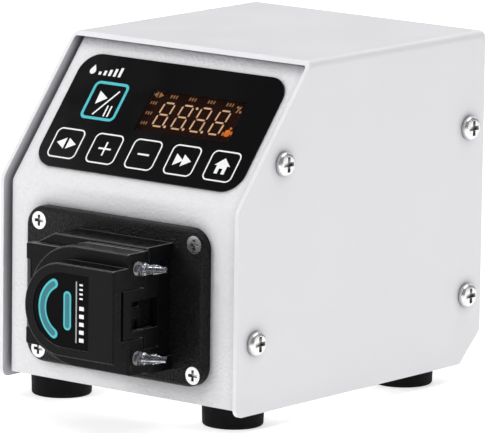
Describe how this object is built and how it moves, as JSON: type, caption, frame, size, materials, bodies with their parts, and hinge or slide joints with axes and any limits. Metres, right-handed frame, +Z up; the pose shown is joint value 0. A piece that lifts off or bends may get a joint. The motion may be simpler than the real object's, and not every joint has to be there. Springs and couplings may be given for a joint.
{
  "type": "peristaltic pump",
  "caption": "Bench-top peristaltic pump: sheet-metal case with a sloping keypad and display, roller head with a slide-off tube cartridge, and a stepper motor drive.",
  "frame": {"origin": "on the surface that the feet stand on, within 1 mm of the point under the middle of the bounding box", "axes": "+X to the right seen from the front, +Y from the pump head to the rear panel, +Z up"},
  "size_m": [0.1061, 0.1664, 0.1183],
  "materials": {
    "cover_paint": "fine satin powder coat, grey-white",
    "panel_paint": "textured powder coat, off-white",
    "foot_rubber": "moulded black rubber",
    "screw_nickel": "nickel plated",
    "screw_black": "black oxide",
    "overlay_black": "smooth black film",
    "key_black": "smooth black film with a printed outline",
    "window_tint": "dark tinted window",
    "display_housing": "dark moulded housing",
    "circuit_board": "green solder mask",
    "switch_plastic": "moulded black plastic",
    "rocker_plastic": "polished black plastic",
    "brass_posts": "plain turned brass",
    "plate_crinkle": "black crinkle coat",
    "head_black": "fine spark-eroded black plastic",
    "label_gloss": "glossy printed film",
    "tube_silicone": "translucent soft tubing",
    "connector_clear": "clear moulded plastic",
    "pin_steel": "ground steel",
    "bush_brass": "sintered bronze",
    "rotor_plastic": "natural acetal",
    "roller_plastic": "polished acetal",
    "core_steel": "ground laminated steel",
    "motor_aluminium": "die cast",
    "stator_steel": "black painted laminations",
    "bearing_steel": "polished rings",
    "capacitor_sleeve": "shrink sleeve",
    "port_metal": "tin plated"
  },
  "bodies": {
    "case": {"cover": "cover_paint", "chassis": "panel_paint", "foot_front_left": "foot_rubber", "foot_front_right": "foot_rubber", "foot_rear_left": "foot_rubber", "foot_rear_right": "foot_rubber", "foot_screws": "screw_nickel", "cover_screws": "screw_nickel", "keypad_overlay": "overlay_black", "display_window": "window_tint", "display_module": "display_housing", "control_board": "circuit_board", "key_switches": "switch_plastic", "board_posts": "brass_posts", "board_screws": "screw_nickel", "mount_plate": "plate_crinkle", "plate_screws": "screw_nickel", "motor_screws": "screw_black", "head_base": "head_black", "base_screws": "screw_black", "motor_front_bell": "motor_aluminium", "motor_stator": "stator_steel", "motor_rear_bell": "motor_aluminium", "motor_bearing_front": "bearing_steel", "motor_bearing_rear": "bearing_steel", "motor_bolts": "screw_nickel", "driver_board": "circuit_board", "driver_heat_sink": "motor_aluminium", "driver_capacitors": "capacitor_sleeve", "power_switch_body": "switch_plastic", "power_socket": "switch_plastic", "control_port": "port_metal"},
    "rotor": {"rotor_cage": "rotor_plastic", "roller_pins": "pin_steel", "hub_screw": "screw_black", "motor_shaft": "pin_steel", "motor_core": "core_steel"},
    "cartridge": {"cartridge_body": "head_black", "cartridge_back_plate": "head_black", "cartridge_cover": "head_black", "cartridge_screws": "screw_black", "cartridge_label": "label_gloss", "pump_tube": "tube_silicone", "tube_connector_upper": "connector_clear", "tube_connector_lower": "connector_clear", "lever_pins": "pin_steel", "lever_spring": "pin_steel", "shaft_bush": "bush_brass", "striker_pin": "pin_steel"},
    "key_start": {"key_start": "key_black"},
    "key_direction": {"key_direction": "key_black"},
    "key_plus": {"key_plus": "key_black"},
    "key_minus": {"key_minus": "key_black"},
    "key_fast": {"key_fast": "key_black"},
    "key_home": {"key_home": "key_black"},
    "release_lever": {"release_lever": "head_black"},
    "power_rocker": {"power_rocker": "rocker_plastic"},
    "roller_1": {"roller_1": "roller_plastic"},
    "roller_2": {"roller_2": "roller_plastic"},
    "roller_3": {"roller_3": "roller_plastic"}
  },
  "joints": [
    {"name": "rotor_spin", "type": "hinge", "parent": "case", "child": "rotor", "pos_m": [0.002, -0.0712, 0.0399], "axis": [0, 1, 0], "continuous": true},
    {"name": "roller_1_spin", "type": "hinge", "parent": "rotor", "child": "roller_1", "pos_m": [0.002, -0.0712, 0.0509], "axis": [0, 1, 0], "continuous": true},
    {"name": "roller_2_spin", "type": "hinge", "parent": "rotor", "child": "roller_2", "pos_m": [-0.00753, -0.0712, 0.0344], "axis": [0, 1, 0], "continuous": true},
    {"name": "roller_3_spin", "type": "hinge", "parent": "rotor", "child": "roller_3", "pos_m": [0.01153, -0.0712, 0.0344], "axis": [0, 1, 0], "continuous": true},
    {"name": "cartridge_slide", "type": "slide", "parent": "case", "child": "cartridge", "axis": [0, -1, 0], "range_m": [0, 0.034]},
    {"name": "release_lever_tilt", "type": "hinge", "parent": "cartridge", "child": "release_lever", "pos_m": [0.0236, -0.0688, 0.0399], "axis": [0, 0, -1], "range_deg": [0, 6], "stiffness_Nm_per_rad": 0.5, "springref_deg": -2.86, "deforming": ["lever_spring"]},
    {"name": "power_rocker_tilt", "type": "hinge", "parent": "case", "child": "power_rocker", "pos_m": [-0.028, 0.074, 0.042], "axis": [1, 0, 0], "range_deg": [0, 18]},
    {"name": "key_start_press", "type": "slide", "parent": "case", "child": "key_start", "axis": [0, 0.7724, -0.6351], "range_m": [0, 0.0004], "stiffness_N_per_m": 1500, "springref_m": -0.0001},
    {"name": "key_direction_press", "type": "slide", "parent": "case", "child": "key_direction", "axis": [0, 0.7724, -0.6351], "range_m": [0, 0.0004], "stiffness_N_per_m": 1500, "springref_m": -0.0001},
    {"name": "key_plus_press", "type": "slide", "parent": "case", "child": "key_plus", "axis": [0, 0.7724, -0.6351], "range_m": [0, 0.0004], "stiffness_N_per_m": 1500, "springref_m": -0.0001},
    {"name": "key_minus_press", "type": "slide", "parent": "case", "child": "key_minus", "axis": [0, 0.7724, -0.6351], "range_m": [0, 0.0004], "stiffness_N_per_m": 1500, "springref_m": -0.0001},
    {"name": "key_fast_press", "type": "slide", "parent": "case", "child": "key_fast", "axis": [0, 0.7724, -0.6351], "range_m": [0, 0.0004], "stiffness_N_per_m": 1500, "springref_m": -0.0001},
    {"name": "key_home_press", "type": "slide", "parent": "case", "child": "key_home", "axis": [0, 0.7724, -0.6351], "range_m": [0, 0.0004], "stiffness_N_per_m": 1500, "springref_m": -0.0001}
  ],
  "couplings": [
    {"joint": "roller_1_spin", "follows": "rotor_spin", "ratio": -3.716},
    {"joint": "roller_2_spin", "follows": "rotor_spin", "ratio": -3.716},
    {"joint": "roller_3_spin", "follows": "rotor_spin", "ratio": -3.716}
  ]
}
